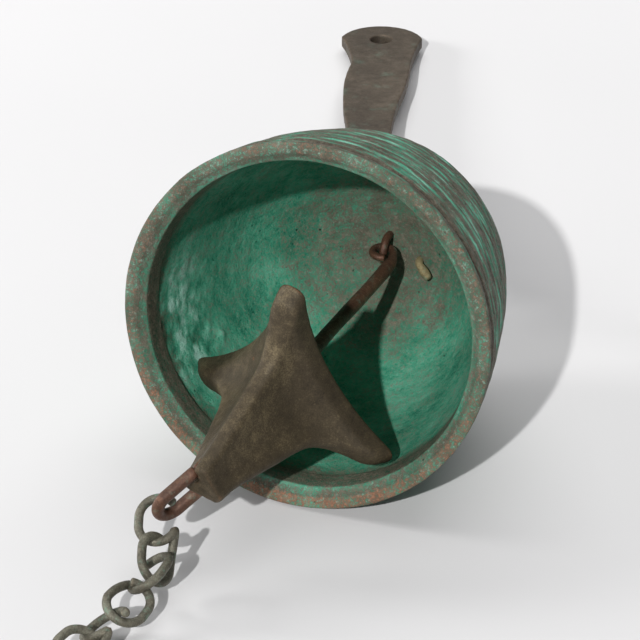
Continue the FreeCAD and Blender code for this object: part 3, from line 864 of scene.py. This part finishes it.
def place_piece(piece, material, body, nodes):
    """Give a piece its material, and let it ride a body in place of that body's plain nodes."""
    piece.data.materials.clear()
    piece.data.materials.append(material)
    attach(piece, body)
    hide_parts(*nodes)


BELL_PAINT = bell_material()
CLAPPER_PAINT = bronze_material(
    "clapper_bronze",
    (tone(44, 37, 26), tone(72, 62, 45), tone(124, 110, 82)),
    rubbed_and_highlit_tone=tone(140, 84, 54),
    rubbed_and_highlit_share=0.7,
)
WIRE_PAINT = bronze_material(
    "wire_bronze",
    (tone(54, 36, 28), tone(88, 62, 48), tone(130, 100, 78)),
    rubbed_and_highlit_tone=tone(156, 98, 66),
    rubbed_and_highlit_share=0.4,
    size=4.0,
    roughness=0.45,
    green=0.5,
)
STUB_PAINT = bronze_material(
    "crusted_wire",
    (tone(92, 82, 58), tone(140, 126, 92), tone(178, 164, 126)),
    rubbed_and_highlit_tone=tone(150, 118, 84),
    rubbed_and_highlit_share=0.2,
    size=3.0,
    roughness=0.7,
    green=0.5,
)
CHAIN_PAINT = bronze_material(
    "chain_brass",
    (tone(58, 56, 48), tone(96, 94, 82), tone(140, 140, 124)),
    rubbed_and_highlit_tone=tone(150, 118, 84),
    rubbed_and_highlit_share=0.3,
    size=3.0,
    roughness=0.5,
    green=0.8,
)
PLATE_PAINT = bronze_material(
    "plate_bronze",
    (tone(56, 49, 42), tone(82, 73, 62), tone(112, 100, 86)),
    rubbed_and_highlit_tone=tone(136, 106, 80),
    rubbed_and_highlit_share=0.5,
    size=9.0,
    roughness=0.6,
    green=0.3,
)

place_piece(build_bell(), BELL_PAINT, "shell", ["bell_shell"])
staple = build_oval("staple", STAPLE_WIRE, STAPLE, 0.62)
place_piece(staple, WIRE_PAINT, "shell", ["crown_staple"])
place_piece(build_stub(), STUB_PAINT, "shell", ["crown_stub"])

place_piece(build_rod(), WIRE_PAINT, "clapper", ["clapper_rod"])
clapper = build_clapper()
channel_path = oval_path(CLAPPER_RING["gauge"], CLAPPER_RING["reach"], 0.41, 0.87)
channel = tube("channel", scaled(channel_path), CHANNEL_WIRE / 2 * MM, RING)
cut(clapper, channel)
soften(clapper, voxel=0.5, rounds=4)
place_piece(clapper, CLAPPER_PAINT, "clapper", ["clapper"])
ring = build_oval("ring_of_clapper", CLAPPER_RING, RING, 0.98)
place_piece(ring, WIRE_PAINT, "clapper_ring_body", ["clapper_ring"])


def lay_links(end, names, lays):
    """Lay link after link from a wire end, and give the end of the last one."""
    for number, (name, lay) in enumerate(zip(names, lays), start=1):
        matrix = hooked(end, LINK["wire"], lay)
        piece = build_link(name.replace("link", "wire"), number, matrix)
        place_piece(piece, CHAIN_PAINT, f"{name}_body", [name])
        end = far_end(matrix, LINK)
    return end


def lay_ring(end, name, lay):
    """Hook a small ring over a wire end, and give the ring's own far end."""
    matrix = hooked(end, SMALL["wire"], lay)
    piece = build_oval(f"{name}_wire", SMALL, matrix, 0.1)
    place_piece(piece, WIRE_PAINT, f"{name}_body", [name])
    return far_end(matrix, SMALL)


chain_names = [f"chain_link_{number}" for number in range(1, 9)]
end = lay_links(far_end(RING, CLAPPER_RING), chain_names, CHAIN_LAY)
end = lay_ring(end, "sail_ring", SAIL_RING_LAY)
sail = build_plate(
    "sail",
    plate_outline(SAIL_CORNERS, SAIL_CURVES),
    [(0, RING_HOLE)],
    SAIL_THICKNESS,
    plate_axes(end, SAIL_LAY, SAIL_THICKNESS),
    seed=2.5,
)
place_piece(sail, PLATE_PAINT, "wind_sail_body", ["wind_sail"])

end = lay_links(far_end(STAPLE, STAPLE_WIRE), ["hanger_link_1", "hanger_link_2"], HANGER_LAY)
end = lay_ring(end, "hanger_ring", PLATE_RING_LAY)
plate = build_plate(
    "plate",
    plate_outline(PLATE_CORNERS, PLATE_CURVES),
    [(0, RING_HOLE), (HANGING_REACH, HANGING_BORE)],
    PLATE_THICKNESS,
    plate_axes(end, PLATE_LAY, PLATE_THICKNESS),
    seed=6.5,
)
place_piece(plate, PLATE_PAINT, "hanger_plate_body", ["hanger_plate"])

# ---------------------------------------------------------------- floor, light and camera

floor_mesh = bmesh.new()
bmesh.ops.create_grid(floor_mesh, x_segments=8, y_segments=8, size=30)
floor_data = bpy.data.meshes.new("floor")
floor_mesh.to_mesh(floor_data)
floor_mesh.free()
floor = bpy.data.objects.new("floor", floor_data)
bpy.context.scene.collection.objects.link(floor)
floor_paint = Paint("floor_paint")
floor_tones = [(0.3, tone(215, 214, 214)), (0.7, tone(220, 219, 219))]
floor_shade = floor_paint.ramp(floor_paint.noise(300, 2, 0.5), floor_tones)
floor_data.materials.append(floor_paint.finish(floor_shade, 0.9, 0.0, specular=0.1))

bpy.context.scene.view_settings.view_transform = "Standard"
world = bpy.data.worlds.new("studio")
world.use_nodes = True
world.node_tree.nodes["Background"].inputs["Color"].default_value = tone(236, 240, 248)
world.node_tree.nodes["Background"].inputs["Strength"].default_value = 0.13
bpy.context.scene.world = world

TARGET = Vector((4.0, 2.9, 59.6)) * MM + TABLE_SHIFT
CAMERA_PLACE = Vector((293.5, -803.9, 574.6)) * MM + TABLE_SHIFT


def add_lamp(name, kind, energy, toward, distance=1.5, **settings):
    """A lamp in this direction from the target, shining at it."""
    data = bpy.data.lights.new(name, kind)
    data.energy = energy
    for key, value in settings.items():
        setattr(data, key, value)
    lamp = bpy.data.objects.new(name, data)
    direction_to = Vector(toward).normalized()
    lamp.location = TARGET + direction_to * distance
    lamp.rotation_mode = "QUATERNION"
    lamp.rotation_quaternion = (-direction_to).to_track_quat("-Z", "Y")
    bpy.context.scene.collection.objects.link(lamp)


add_lamp("key", "SUN", 2.9, (0.021, -0.828, 0.554), angle=math.radians(1.4))
add_lamp("side", "AREA", 12.0, (-0.95, -0.12, 0.30), distance=1.5, size=0.35)
add_lamp("overhead", "AREA", 36.0, (-0.1, 0.55, 1.0), distance=2.2, size=2.4)

camera_data = bpy.data.cameras.new("camera")
camera_data.lens = 190.9
camera_data.sensor_width = 36
camera_data.clip_start = 0.01
camera_data.clip_end = 100
camera = bpy.data.objects.new("camera", camera_data)
camera.location = CAMERA_PLACE
camera.rotation_mode = "QUATERNION"
camera.rotation_quaternion = (TARGET - CAMERA_PLACE).to_track_quat("-Z", "Y")
bpy.context.scene.collection.objects.link(camera)
bpy.context.scene.camera = camera
